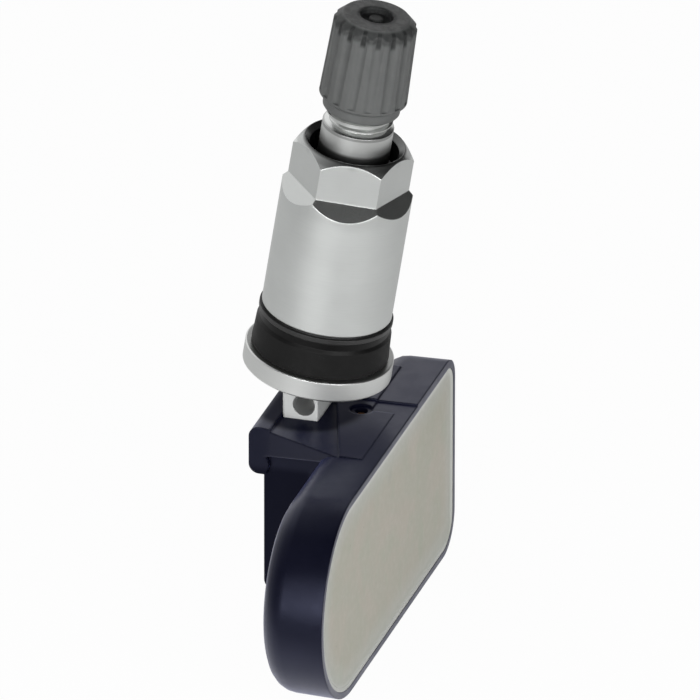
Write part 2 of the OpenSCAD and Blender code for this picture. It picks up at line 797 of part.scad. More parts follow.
// Sealing disc inside the cap
module cap_seal() {
    r = tip_thread_d / 2 - 0.05;
    color("black") turned([[1.2, seal_z], [r, seal_z], [r, seal_z + seal_t], [1.2, seal_z + seal_t]]);
}

// Body of the valve core: threaded head, waist and barrel
module core_body() {
    slot = 3.2;
    color("darkgoldenrod") difference() {
        union() {
            turned([
                [0, barrel_z], [core_barrel_d / 2, barrel_z], [core_barrel_d / 2, barrel_top],
                [gasket_groove_d / 2, barrel_top], [gasket_groove_d / 2, gasket_top],
                [core_barrel_d / 2 + 0.3, gasket_top], [core_barrel_d / 2 + 0.3, core_neck_z],
                [core_head_d / 2, core_neck_z], [core_head_d / 2, core_top - 1.6],
                [core_head_d / 2 - 0.35, core_top - 1.5], [0, core_top - 1.5]]);
            intersection() {
                translate([0, 0, core_top - 1.6]) cylinder(d = core_head_d - 0.8, h = 1.6);
                translate([-1.1, -slot, core_top - 1.7]) cube([2.2, 2 * slot, 1.7]);
            }
        }
        translate([0, 0, barrel_z - over]) cylinder(d = pin_d + 4 * run_gap, h = cap_len + 10, $fn = 48);
        translate([0, 0, barrel_z + ledge_t])
            cylinder(d = barrel_bore_d, h = core_neck_z - barrel_z - ledge_t, $fn = 48);
    }
}

// Sealing sleeve on the cone of the core
module core_gasket() {
    bore_r = gasket_groove_d / 2 + run_gap;
    low_r = gasket_low_d / 2;
    high_r = low_r + 0.15;
    color("firebrick") turned([
        [bore_r, barrel_top], [low_r - 0.1, barrel_top], [low_r, barrel_top + 0.4],
        [low_r, gasket_top - 0.9], [high_r, gasket_top - 0.65], [high_r, gasket_top - seat_gap],
        [bore_r, gasket_top - seat_gap]]);
}

// Pin with its spring collar and the metal backing of the plunger
module core_pin() {
    tip = tip_z - 0.35;
    collar_r = barrel_bore_d / 2 - 0.15;
    color("burlywood") turned([
        [0, plunger_z], [plunger_d / 2, plunger_z], [plunger_d / 2, plunger_z + plunger_t],
        [pin_d / 2, plunger_z + plunger_t], [pin_d / 2, collar_under + seat_gap],
        [collar_r, collar_under + seat_gap], [collar_r, collar_under + 0.6],
        [pin_d / 2, collar_under + 0.9], [pin_d / 2, core_top + 0.1],
        [pin_d / 2 + 0.1, core_top + 0.15], [pin_d / 2 + 0.1, tip - 0.1], [pin_d / 2, tip], [0, tip]]);
}

// Rubber face of the plunger, which closes on the lower rim of the barrel
module core_plunger() {
    bore_r = pin_d / 2 + run_gap;
    r = plunger_d / 2;
    low = plunger_z + plunger_t + seat_gap;
    color("black") turned([[bore_r, low], [r, low], [r - 0.1, cup_top], [bore_r, cup_top]]);
}

// Point k of a wire section, at a turn angle along the coil
function coil_point(a, k, sides, rise) =
    let (w = spring_wire_d / 2, t = 360 * k / sides, r = spring_mean_d / 2 + w * cos(t))
    [r * cos(a), r * sin(a), spring_z + w + rise * a / 360 + w * sin(t)];

// Coil spring between the ledge of the barrel and the collar of the pin
module core_spring() {
    sides = 6;
    per_turn = 12;
    rings = spring_turns * per_turn;
    rise = (collar_under - spring_z - spring_wire_d) / spring_turns;
    points = [for (i = [0 : rings], k = [0 : sides - 1]) coil_point(360 * i / per_turn, k, sides, rise)];
    walls = [for (i = [0 : rings - 1], k = [0 : sides - 1])
        [i * sides + k, (i + 1) * sides + k, (i + 1) * sides + (k + 1) % sides,
         i * sides + (k + 1) % sides]];
    first = [for (k = [0 : sides - 1]) k];
    last = [for (k = [sides - 1 : -1 : 0]) rings * sides + k];
    color("lightgray") polyhedron(points, concat(walls, [first, last]));
}

valve_cap();
cap_seal();
core_body();
core_gasket();
core_pin();
core_plunger();
core_spring();
valve_stem();
sleeve_nut();
slide_ring();
grommet();
housing();
potting();
circuit_board();
battery();
battery_tab_plus();
battery_tab_minus();
pressure_sensor();
port_gasket();
control_chip();
crystal();
capacitors();
ferrite_core();
coil_winding();
antenna();
foot_screw();
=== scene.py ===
import json
import math

import bpy
from mathutils import Matrix, Vector

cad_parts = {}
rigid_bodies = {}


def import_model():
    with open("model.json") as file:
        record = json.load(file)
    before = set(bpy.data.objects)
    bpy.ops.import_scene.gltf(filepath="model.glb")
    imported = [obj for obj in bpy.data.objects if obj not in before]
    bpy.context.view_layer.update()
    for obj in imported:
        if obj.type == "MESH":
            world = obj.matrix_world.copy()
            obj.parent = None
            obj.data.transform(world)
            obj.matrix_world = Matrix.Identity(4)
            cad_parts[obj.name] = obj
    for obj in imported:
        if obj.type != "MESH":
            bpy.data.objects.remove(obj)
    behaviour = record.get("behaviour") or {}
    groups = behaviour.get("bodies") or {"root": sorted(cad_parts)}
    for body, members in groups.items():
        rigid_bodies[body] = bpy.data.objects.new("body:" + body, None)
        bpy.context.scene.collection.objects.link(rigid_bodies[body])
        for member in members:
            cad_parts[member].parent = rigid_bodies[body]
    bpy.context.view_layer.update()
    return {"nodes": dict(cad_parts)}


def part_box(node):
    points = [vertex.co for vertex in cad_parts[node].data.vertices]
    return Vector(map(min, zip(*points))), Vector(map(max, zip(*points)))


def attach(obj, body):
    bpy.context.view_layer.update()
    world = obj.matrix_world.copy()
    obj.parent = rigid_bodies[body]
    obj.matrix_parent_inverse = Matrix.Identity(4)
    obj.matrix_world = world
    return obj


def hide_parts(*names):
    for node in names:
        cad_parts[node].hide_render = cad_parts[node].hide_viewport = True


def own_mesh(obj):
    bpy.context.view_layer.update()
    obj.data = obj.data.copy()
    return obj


for thing in list(bpy.data.objects):
    bpy.data.objects.remove(thing, do_unlink=True)
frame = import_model()
MM = 0.001

# Sizes of the part that the scene repeats, in millimetres. Heights are along the valve.
TILT = math.radians(9)
THREAD_LOW, THREAD_HIGH = 29.3, 39.95
THREAD_ROOT, THREAD_CREST, THREAD_PITCH = 3.42, 3.85, 0.794
CAP_TOP, FLUTES = 42.82, 16
HOLE_Z, HOLE_R = -6.06, 1.3
MOUTH_R = 5.1
X_AXIS, Y_AXIS, Z_AXIS = (1, 0, 0), (0, 1, 0), (0, 0, 1)

# The housing leans with the potted face. Its sizes are along ACROSS, Y and RISE.
ACROSS = Vector((math.cos(TILT), 0, math.sin(TILT)))
RISE = Vector((-math.sin(TILT), 0, math.cos(TILT)))
FACE_OUT, POT_X, WALL = 10.7, 10.58, 0.8
NEAR_Y, NEAR_R, MID_H, FAR_REACH = -22.55, 11.95, -19.25, 18.0
TOP_H, LOW_H, FAR_TOP_R, FAR_LOW_R = -7.3, -31.2, 3.0, 4.5

# Heights over which the alloy's finish, painted shade and painted light change, each from where
# a smooth step starts to its end.
FOOT = (-2.4, -2.8)
HEXAGON = (18, 20)
NUT_BORE = (20, 22)
NUT_BRIM = (25.6, 26)
STEM_NECK = (22, 22.5), (26.9, 26.4)
STEM_EDGE = (28.6, 28.7), (29.2, 29.05)


def leaned(x, y, z):
    """A point of the leaned housing frame, in the row frame, in metres."""
    return (ACROSS * x + Vector((0, y, 0)) + RISE * z) * MM


# ---- Camera, as in the photograph ----
RIGHT = Vector((0.94478, 0.29027, 0.15075)).normalized()
UP = Vector((-0.26502, 0.406, 0.87341)).normalized()
BACK = RIGHT.cross(UP).normalized()
UP = BACK.cross(RIGHT).normalized()
DISTANCE, FIELD, SENSOR = 2.5, 0.0795454, 36
AIM_RIGHT, AIM_UP = 0.00342, -0.000284
lens = bpy.data.cameras.new("camera")
lens.sensor_width = SENSOR
lens.lens = SENSOR * DISTANCE / FIELD
lens.clip_start = 0.1
lens.clip_end = 30
camera = bpy.data.objects.new("camera", lens)
bpy.context.scene.collection.objects.link(camera)
spot = RIGHT * AIM_RIGHT + UP * AIM_UP + BACK * DISTANCE
camera.matrix_world = Matrix.Translation(spot) @ Matrix((RIGHT, UP, BACK)).transposed().to_4x4()
bpy.context.scene.camera = camera
bpy.context.scene.view_settings.view_transform = "Standard"


# ---- Node helpers ----
def scaled(tone, factor, lift=0.0):
    """A lighter or darker tone."""
    return tuple(min(1, c * factor + lift) for c in tone)


class Shader:
    """One material and the few node moves that the finishes share."""

    def __init__(self, name):
        self.material = bpy.data.materials.new(name)
        self.material.use_nodes = True
        self.tree = self.material.node_tree
        self.bsdf = self.tree.nodes["Principled BSDF"]
        where = self.tree.nodes.new("ShaderNodeTexCoord")
        self.place = where.outputs["Object"]
        self.facing = where.outputs["Normal"]

    def node(self, kind, values=(), out=0, **settings):
        """A new node with its inputs and settings, as the output asked for."""
        made = self.tree.nodes.new("ShaderNode" + kind)
        for key, value in settings.items():
            setattr(made, key, value)
        for key, value in dict(values).items():
            self.feed(made.inputs[key], value)
        return made.outputs[out]

    def feed(self, socket, value):
        """Links another node's output to a socket, or sets a constant on it."""
        if isinstance(value, bpy.types.NodeSocket):
            self.tree.links.new(value, socket)
        elif socket.type == "RGBA" and len(value) == 3:
            socket.default_value = (*value, 1)
        else:
            socket.default_value = value

    def set(self, **values):
        """Sets inputs of the Principled BSDF, named with _ for each space."""
        for key, value in values.items():
            self.feed(self.bsdf.inputs[key.replace("_", " ")], value)

    def math(self, how, a, b=0.0):
        return self.node("Math", {0: a, 1: b}, operation=how)

    def times(self, a, b):
        return self.math("MULTIPLY", a, b)

    def length(self, vector):
        return self.node("VectorMath", {0: vector}, out=1, operation="LENGTH")

    def along(self, axis):
        """How far a point lies along an axis, in millimetres."""
        return self.node("VectorMath", {0: self.place, 1: tuple(a / MM for a in axis)},
                         out=1, operation="DOT_PRODUCT")

    def radius(self):
        """Distance from the valve's axis, in millimetres."""
        return self.length(self.node("VectorMath", {0: self.place, 1: (1 / MM, 1 / MM, 0)},
                                     operation="MULTIPLY"))

    def stretched(self, scale, turn=(0, 0, 0)):
        return self.node("Mapping", {"Vector": self.place, "Scale": scale, "Rotation": turn})

    def noise(self, size, detail=3.0, rough=0.5, twist=0.0, place=None):
        """Noise whose features are about size millimetres."""
        return self.node("TexNoise", {"Vector": place or self.place, "Scale": 1 / (size * MM),
                                      "Detail": detail, "Roughness": rough, "Distortion": twist})

    def cells(self, size, place=None, feature="F1"):
        """Distance pattern of cells that are about size millimetres."""
        return self.node("TexVoronoi", {"Vector": place or self.place, "Scale": 1 / (size * MM)},
                         feature=feature)

    def ramp(self, amount, low, high, first=0.0, last=1.0):
        """A smooth step from first to last as amount goes from low to high."""
        return self.node("MapRange", {"Value": amount, "From Min": low, "From Max": high,
                                      "To Min": first, "To Max": last},
                         interpolation_type="SMOOTHSTEP")

    def mix(self, amount, a, b):
        made = self.tree.nodes.new("ShaderNodeMix")
        made.data_type = "RGBA"
        for slot, value in ((0, amount), (6, a), (7, b)):
            self.feed(made.inputs[slot], value)
        return made.outputs[2]

    def tint(self, colour, toward, mask, share):
        """A colour that goes a share of the way toward another where the mask is 1."""
        return self.mix(self.times(mask, share), colour, toward)

    def bump(self, height, depth, normal=None):
        """Relief depth in millimetres."""
        values = {"Height": height, "Distance": depth * MM, "Strength": 1.0}
        if normal is not None:
            values["Normal"] = normal
        return self.node("Bump", values)

    def rounded(self, radius):
        """A normal that rounds the edges, and a mask of the edges themselves."""
        soft = self.node("Bevel", {"Radius": radius * MM}, samples=6)
        plain = self.node("NewGeometry", out="Normal")
        turn = self.node("VectorMath", {0: soft, 1: plain}, out=1, operation="DOT_PRODUCT")
        return soft, self.ramp(turn, 0.995, 0.90)


# ---- Finishes ----
def alloy(name, tone=(0.62, 0.63, 0.62), polish=0.5, tip_polish=0.5, mouth=0, radius=0.14):
    """Turned aluminium, finely blasted and clear anodised, with smoother cut facets.

    mouth is the radius of the nut's mouth, whose bore, brim and cut ledges are darkened with
    painted shade.
    Without one the finish is the stem's, darkened with painted shade where it stands in that
    mouth.
    """
    s = Shader(name)
    rings = s.noise(1.0, 4, 0.6, place=s.stretched((0.35, 0.35, 9)))
    grain = s.noise(0.07, 2, 0.6)
    cloud = s.noise(6, 3, 0.55)
    normal, edge = s.rounded(radius)
    up = s.node("SeparateXYZ", {0: s.facing}, out=2)
    cut, blasted = s.ramp(up, 0.2, 0.35), s.ramp(up, 0.14, 0.03)
    z, across = s.along(Z_AXIS), s.radius()
    colour = s.mix(s.ramp(cloud, 0.3, 0.7), tone, scaled(tone, 1.04))
    colour = s.mix(s.ramp(rings, 0.35, 0.75), colour, s.mix(0.06, colour, (0.3, 0.31, 0.31)))
    colour = s.tint(colour, (0.8, 0.8, 0.79), edge, 0.35)
    # Painted shade inside the foot's hole.
    from_hole = s.node("CombineXYZ", {0: s.along(X_AXIS), 2: s.math("SUBTRACT", z, HOLE_Z)})
    hole_shade = s.ramp(s.length(from_hole), HOLE_R + 0.06, HOLE_R)
    colour = s.tint(colour, (0.05, 0.05, 0.05), hole_shade, 0.7)
    if mouth:
        # Painted shade: the bore inside the nut's mouth and the brim around it are darkened
        # where shade falls.
        inside = s.times(s.ramp(across, mouth + 0.1, mouth), s.ramp(z, *NUT_BORE))
        colour = s.tint(colour, (0.02, 0.02, 0.02), inside, 0.93)
        top = s.ramp(z, *NUT_BRIM)
        brim_shade = s.times(s.ramp(across, mouth + 0.95, mouth + 0.7), top)
        colour = s.tint(colour, (0.03, 0.03, 0.03), brim_shade, 0.75)
        # Painted shade on the cut ledges at the top of the nut.
        colour = s.tint(colour, (0.05, 0.05, 0.05), s.times(cut, top), 0.38)
    else:
        # Painted shade on the stem where it stands in the nut's mouth, and a darker band at its
        # edge below the thread.
        for ends, dark, share in ((STEM_NECK, 0.03, 0.8), (STEM_EDGE, 0.12, 0.5)):
            band = s.times(s.ramp(z, *ends[0]), s.ramp(z, *ends[1]))
            colour = s.tint(colour, (dark, dark, dark), band, share)
    # The foot is rougher, as milled, and its colour is painted lighter to stand in for light on
    # its faces.
    foot = s.ramp(z, *FOOT)
    colour = s.tint(colour, (0.88, 0.89, 0.89), foot, 0.35)
    rough = s.math("ADD", s.ramp(z, *HEXAGON, polish, tip_polish), s.times(foot, 0.32))
    rough = s.math("ADD", rough, s.ramp(cloud, 0.3, 0.7, -0.012, 0.012))
    normal = s.bump(s.times(rings, blasted), 0.002, normal)
    s.set(Base_Color=colour, Metallic=1.0, Roughness=s.math("ADD", rough, s.times(cut, -0.2)),
          Normal=s.bump(s.times(grain, blasted), 0.0012, normal))
    return s.material


def crown_shade(s, colour, top):
    """The cap's colour, with painted shade in the flutes' upper ends, on the bevel and in the
    groove, and its flat top lighter in patches.
    """
    z, across, blot = s.along(Z_AXIS), s.radius(), s.noise(0.9, 4, 0.65)
    turn = s.math("ARCTAN2", s.along(Y_AXIS), s.along(X_AXIS))
    flute = s.ramp(s.math("COSINE", s.times(turn, float(FLUTES))), 0.1, 0.8)
    flute_ends = s.times(s.ramp(z, top - 2.4, top - 1.7), flute)
    bevel = s.ramp(z, top - 1.7, top - 1.1)
    groove = s.times(s.ramp(across, 0.7, 1.0), s.ramp(across, 2.5, 2.0))
    groove = s.times(groove, s.ramp(z, top - 0.9, top - 0.8))
    flat = s.times(s.ramp(z, top - 0.12, top - 0.03), s.ramp(blot, 0.4, 0.65))
    # Painted shade in the flute ends, on the bevel and in the groove.
    painted_shade = s.math("MAXIMUM", flute_ends, s.times(bevel, 0.72))
    painted_shade = s.math("MAXIMUM", s.times(painted_shade, s.ramp(z, top, top - 0.3)), groove)
    painted_shade = s.times(painted_shade, s.ramp(blot, 0.36, 0.66, 1.0, 0.8))
    return s.mix(painted_shade, s.tint(colour, (0.15, 0.15, 0.15), flat, 0.75), (0.012, 0.013, 0.013))


def housing_shine(s, spec, bloom):
    """Sets the housing's faint sheen, and gives its specular level.

    It is matt around the foot and on the rear block. The near end shines more from its middle to
    its underside.
    """
    rise, across = s.along(RISE), s.radius()
    recess = s.times(s.ramp(across, 8.0, 5.5), s.ramp(s.along(Z_AXIS), -9, -8.6))
    block = s.times(s.ramp(across, 14, 12), s.ramp(s.along(ACROSS), 1.5, 0.5))
    block = s.times(block, s.ramp(rise, -11.5, -13))
    matt = s.math("MAXIMUM", recess, s.times(block, 0.6))
    near_end = s.times(s.ramp(s.along(Y_AXIS), -12, -18), s.ramp(rise, -8, -10))
    side = s.ramp(rise, -12, -22, spec * 0.55, spec * 1.75)
    s.set(Sheen_Weight=s.ramp(matt, 0, 1, 0.12, 0.04), Sheen_Roughness=0.4,
          Sheen_Tint=(*bloom, 1), Specular_Tint=(0.62, 0.66, 1, 1))
    return s.ramp(matt, 0, 1, s.ramp(near_end, 0, 1, spec, side), 0.02)


def moulded(name, tone, rough=0.5, grain=0.12, depth=0.012, light=None, radius=0.2, spec=0.5,
            wear=0.25, bloom=None, crown=None):
    """Moulded plastic with an eroded texture, cloudy tone and edges rubbed lighter.

    bloom is the tint of the housing's sheen, and crown is the height of the cap's top.
    """
    s = Shader(name)
    light = light or scaled(tone, 1.8, 0.02)
    normal, edge = s.rounded(radius)
    colour = s.mix(s.ramp(s.noise(4, 4, 0.6), 0.3, 0.75), tone, scaled(tone, 1.2, 0.0005))
    colour = s.tint(colour, light, s.ramp(s.cells(1.1), 0.08, 0.02), 0.25)
    rub = s.times(edge, s.ramp(s.noise(1.4, 4, 0.7), 0.42, 0.62, 0.3, 1.0))
    colour = s.tint(colour, light, rub, wear)
    if crown:
        # The cap's crown is darkened with painted shade.
        colour = crown_shade(s, colour, crown)
    if bloom:
        spec = housing_shine(s, spec, bloom)
    s.set(Base_Color=colour, Specular_IOR_Level=spec,
          Roughness=s.ramp(s.noise(2.5, 3, 0.6), 0.3, 0.7, rough - 0.03, rough + 0.05),
          Normal=s.bump(s.noise(grain, 3, 0.6), depth, normal))
    return s.material


def rubber(name, tone, rough=0.6, band=None):
    """Moulded rubber: matt, with a fine bloom and small dust.

    band is the lower and upper height of a smooth dark band, if there is one.
    """
    s = Shader(name)
    normal, edge = s.rounded(0.12)
    bloom = s.noise(2.2, 5, 0.65)
    dust = s.ramp(s.cells(0.5), 0.1, 0.03)
    colour = s.mix(s.ramp(bloom, 0.4, 0.75), tone, scaled(tone, 1.35, 0.002))
    colour = s.tint(colour, (0.16, 0.16, 0.155), dust, 0.15)
    colour = s.tint(colour, scaled(tone, 1.9, 0.012), edge, 0.25)
    soft = s.ramp(bloom, 0.3, 0.7, rough, rough + 0.12)
    if band:
        z, (low, high) = s.along(Z_AXIS), band
        inside = s.times(s.ramp(z, low - 0.1, low + 0.1), s.ramp(z, high + 0.1, high))
        colour = s.tint(colour, (0.002, 0.002, 0.002), inside, 0.8)
        soft = s.math("SUBTRACT", soft, s.times(inside, 0.25))
    s.set(Base_Color=colour, Roughness=soft,
          Specular_IOR_Level=0.16, Sheen_Weight=0.04, Sheen_Roughness=0.4,
          Normal=s.bump(s.noise(0.1, 3, 0.6), 0.008, normal))
    return s.material


def metal(name, tone, polish=0.25, lines=(1, 1, 1), tarnish=(0.25, 0.2, 0.15), amount=0.2):
    """Small metal pieces: drawn, turned or stamped, with a little tarnish."""
    s = Shader(name)
    drawn = s.noise(0.3, 4, 0.6, place=s.stretched(lines))
    stain = s.noise(1.6, 5, 0.65)
    normal, edge = s.rounded(0.06)
    colour = s.mix(s.ramp(drawn, 0.3, 0.75), tone, scaled(tone, 0.86))
    colour = s.tint(colour, tarnish, s.ramp(stain, 0.5, 0.75), amount)
    colour = s.tint(colour, scaled(tone, 1.2), edge, 0.4)
    s.set(Base_Color=colour, Metallic=1.0,
          Roughness=s.ramp(drawn, 0.3, 0.7, polish, polish + 0.14),
          Normal=s.bump(drawn, 0.003, normal))
    return s.material


def border_distance(s):
    """Distance from the shell's inner outline, on the potted face, in millimetres."""
    y = s.along(Y_AXIS)
    rise = s.math("SUBTRACT", s.along(RISE), MID_H)
    past = s.math("MAXIMUM", s.math("SUBTRACT", NEAR_Y, y), 0.0)
    arm = s.length(s.node("CombineXYZ", {0: past, 1: rise}))
    round_end = s.math("SUBTRACT", NEAR_R - WALL, arm)
    far_end = s.math("SUBTRACT", FAR_REACH - WALL, y)
    blend = 3.0
    return s.node("Math", {0: round_end, 1: far_end, 2: blend}, operation="SMOOTH_MIN")


def resin(name):
    """Cast resin: satin, faintly mottled green and pink, paler toward the wall, with a painted
    highlight along it.
    """
    s = Shader(name)
    warm = s.noise(9, 3, 0.5, 0.6)
    patch = s.noise(5, 4, 0.55, 1.2, place=s.stretched((1, 1, 0.6), (0.4, 0.2, 0)))
    fine = s.noise(0.8, 5, 0.6)
    swell = s.noise(7, 2, 0.5)
    pits = s.ramp(s.cells(2.6), 0.05, 0.03)
    stain_place = tuple(leaned(POT_X, -7.5, -11.4))
    stain = s.node("VectorMath", {0: s.place, 1: stain_place}, out=1, operation="DISTANCE")
    stain = s.math("ADD", s.math("DIVIDE", stain, MM), s.times(patch, 1.6))
    inset = border_distance(s)
    colour = s.mix(s.ramp(warm, 0.38, 0.66), (0.37, 0.362, 0.29), (0.40, 0.366, 0.30))
    colour = s.tint(colour, (0.335, 0.362, 0.272), s.ramp(patch, 0.5, 0.72), 0.55)
    colour = s.tint(colour, (0.50, 0.49, 0.42), s.ramp(fine, 0.45, 0.8), 0.12)
    colour = s.tint(colour, (0.24, 0.23, 0.19), pits, 0.5)
    colour = s.tint(colour, (0.27, 0.27, 0.23), s.ramp(stain, 2.2, 0.9), 0.35)
    colour = s.mix(s.ramp(inset, 4.2, 0.2, 0.0, 0.75), colour, (0.42, 0.44, 0.40))
    # Painted highlight: a narrow pale band along the wall, where the meniscus would catch light.
    colour = s.mix(s.ramp(inset, 1.0, 0.25, 0.0, 0.55), colour, (0.62, 0.63, 0.61))
    sag = s.times(s.ramp(inset, 0.0, 1.6), -1.0)
    s.set(Base_Color=colour, Specular_IOR_Level=0.35,
          Roughness=s.ramp(fine, 0.3, 0.7, 0.36, 0.48), Coat_Weight=0.05, Coat_Roughness=0.25,
          Normal=s.bump(swell, 0.08, s.bump(sag, 0.12, s.bump(pits, -0.03))))
    return s.material


def laminate(name):
    """Circuit board: green mask over copper tracks and pads."""
    s = Shader(name)
    laid = s.stretched((1, 1, 1), (0, TILT, 0.785))
    track = s.ramp(s.cells(1.3, place=laid, feature="DISTANCE_TO_EDGE"), 0.05, 0.09)
    weave = s.noise(0.35, 2, 0.5)
    pads = s.ramp(s.cells(2.4), 0.12, 0.1)
    colour = s.mix(track, (0.05, 0.25, 0.09), (0.015, 0.12, 0.04))
    colour = s.tint(colour, (0.04, 0.18, 0.07), s.ramp(weave, 0.4, 0.7), 0.2)
    colour = s.mix(pads, colour, (0.72, 0.68, 0.6))
    s.set(Base_Color=colour, Metallic=pads, Roughness=s.ramp(weave, 0.3, 0.7, 0.3, 0.42),
          Normal=s.bump(track, -0.02))
    return s.material


def winding(name):
    """Enamelled copper wire, laid turn by turn."""
    s = Shader(name)
    step, waves_per_unit = 0.9, 3.2
    turns = s.node("TexWave", {"Vector": s.place, "Scale": 1 / (step * MM) / waves_per_unit,
                               "Distortion": 0.3},
                   bands_direction="Y", wave_profile="SIN", out=1)
    s.set(Base_Color=s.mix(turns, (0.22, 0.06, 0.02), (0.72, 0.30, 0.12)), Metallic=0.8,
          Roughness=0.3, Coat_Weight=0.5, Coat_Roughness=0.12, Normal=s.bump(turns, 0.06))
    return s.material


FINISHES = {
    "cap_plastic": moulded("cap_plastic", (0.085, 0.088, 0.087), 0.46, 0.1, 0.008,
                           (0.13, 0.135, 0.13), 0.42, 0.3, 0.06, crown=CAP_TOP),
    "black_rubber": rubber("black_rubber", (0.005, 0.005, 0.005)),
    "red_seal": rubber("red_seal", (0.42, 0.045, 0.028), 0.5),
    "core_brass": metal("core_brass", (0.78, 0.60, 0.30), 0.3, (0.4, 0.4, 8),
                        (0.5, 0.33, 0.14), 0.12),
    "spring_steel": metal("spring_steel", (0.6, 0.6, 0.62), 0.2),
    "valve_alloy": alloy("valve_alloy", tip_polish=0.42),
    "ring_plastic": moulded("ring_plastic", (0.012, 0.012, 0.012), 0.42, 0.1, 0.006,
                            (0.12, 0.12, 0.12), 0.1),
    "housing_plastic": moulded("housing_plastic", (0.0016, 0.0018, 0.0060), 0.33, 0.16, 0.0025,
                               (0.012, 0.012, 0.022), 0.3, 0.3, 0.15, (0.3, 0.35, 1.0)),
    "potting_resin": resin("potting_resin"),
    "board_laminate": laminate("board_laminate"),
    "cell_steel": metal("cell_steel", (0.68, 0.68, 0.67), 0.26, (1, 3, 3), (0.4, 0.38, 0.34)),
    "nickel_strip": metal("nickel_strip", (0.7, 0.69, 0.66), 0.28, (1, 1, 6),
                          (0.45, 0.42, 0.36)),
    "sensor_ceramic": moulded("sensor_ceramic", (0.05, 0.05, 0.055), 0.4, 0.08, 0.006),
    "port_silicone": rubber("port_silicone", (0.16, 0.08, 0.035), 0.45),
    "chip_epoxy": moulded("chip_epoxy", (0.02, 0.02, 0.02), 0.5, 0.06, 0.006),
    "crystal_can": metal("crystal_can", (0.72, 0.72, 0.71), 0.2, (1, 5, 1), (0.45, 0.44, 0.4)),
    "capacitor_ceramic": moulded("capacitor_ceramic", (0.33, 0.2, 0.11), 0.4, 0.06, 0.004),
    "ferrite": moulded("ferrite", (0.03, 0.03, 0.034), 0.55, 0.09, 0.01, (0.13, 0.13, 0.14)),
    "enamelled_copper": winding("enamelled_copper"),
    "tinned_wire": metal("tinned_wire", (0.66, 0.56, 0.4), 0.25, (1, 1, 1), (0.3, 0.2, 0.1)),
    "screw_steel": metal("screw_steel", (0.55, 0.56, 0.58), 0.26, (1, 1, 1), (0.42, 0.4, 0.3)),
}
# Pieces whose look differs from their finish's usual one.
OWN = {
    "sleeve_nut": alloy("nut_alloy", (0.60, 0.615, 0.605), 0.54, 0.46, mouth=MOUTH_R),
    "grommet": rubber("seat_rubber", (0.005, 0.005, 0.005), band=(3.2, 4.45)),
    "tip_thread": alloy("thread_alloy", (0.56, 0.57, 0.56), 0.4, 0.4, radius=0.03),
}
for name, node in frame["nodes"].items():
    for place in node.material_slots:
        finish = FINISHES[place.material.name.split(".")[0]]
        place.material = OWN.get(name, finish)


# ---- Modifiers on two CAD nodes ----
def geometry_modifier(node, title):
    """A new, empty geometry modifier on a node, as the makers of its nodes and its links."""
    group = bpy.data.node_groups.new(title + "_" + node.name, "GeometryNodeTree")
    for way in ("INPUT", "OUTPUT"):
        group.interface.new_socket("Geometry", in_out=way, socket_type="NodeSocketGeometry")
    node.modifiers.new(title, "NODES").node_group = group
    return group.nodes.new, group.links.new


def smoothed(node, degrees):
    """Smooth shading across the hull's small faces, with its real edges kept sharp."""
    new, link = geometry_modifier(node, "smooth")
    start, end = new("NodeGroupInput"), new("NodeGroupOutput")
    weld = new("GeometryNodeMergeByDistance")
    weld.inputs["Distance"].default_value = 2e-6
    bare = new("GeometryNodeRemoveAttribute")
    bare.inputs["Name"].default_value = "custom_normal"
    faces, loose, sharp = (new("GeometryNodeSetShadeSmooth") for _ in range(3))
    loose.domain = sharp.domain = "EDGE"
    sharp.inputs["Shade Smooth"].default_value = False
    angle = new("GeometryNodeInputMeshEdgeAngle")
    over = new("FunctionNodeCompare")
    over.inputs[1].default_value = math.radians(degrees)
    link(angle.outputs[0], over.inputs[0])
    link(over.outputs[0], sharp.inputs["Selection"])
    chain = [start, weld, bare, faces, loose, sharp, end]
    for a, b in zip(chain, chain[1:]):
        link(a.outputs[0], b.inputs[0])


def eased_button(node, above, share):
    """Eases the pin's button, so that it slips into the core's head without rubbing."""
    new, link = geometry_modifier(node, "eased")
    start, end, move = (new("NodeGroupInput"), new("NodeGroupOutput"),
                        new("GeometryNodeSetPosition"))
    place, parts, over = (new("GeometryNodeInputPosition"), new("ShaderNodeSeparateXYZ"),
                          new("FunctionNodeCompare"))
    over.inputs[1].default_value = above * MM
    slim = new("ShaderNodeVectorMath")
    slim.operation = "MULTIPLY"
    slim.inputs[1].default_value = (share, share, 1)
    link(place.outputs[0], parts.inputs[0])
    link(parts.outputs[2], over.inputs[0])
    link(place.outputs[0], slim.inputs[0])
    link(start.outputs[0], move.inputs["Geometry"])
    link(over.outputs[0], move.inputs["Selection"])
    link(slim.outputs[0], move.inputs["Position"])
    link(move.outputs[0], end.inputs[0])


smoothed(frame["nodes"]["housing"], degrees=28)
eased_button(frame["nodes"]["core_pin"], above=39.5, share=0.96)


# ---- Pieces ----
def piece(name, verts, faces, body, slot, smooth=True):
    """An added piece, on its body and with its finish."""
    mesh = bpy.data.meshes.new(name)
    mesh.from_pydata([tuple(v) for v in verts], [], faces)
    mesh.validate()
    mesh.materials.append(OWN.get(name, FINISHES[slot]))
    mesh.polygons.foreach_set("use_smooth", [smooth] * len(mesh.polygons))
    made = bpy.data.objects.new(name, mesh)
    bpy.context.scene.collection.objects.link(made)
    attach(made, body)
    return made


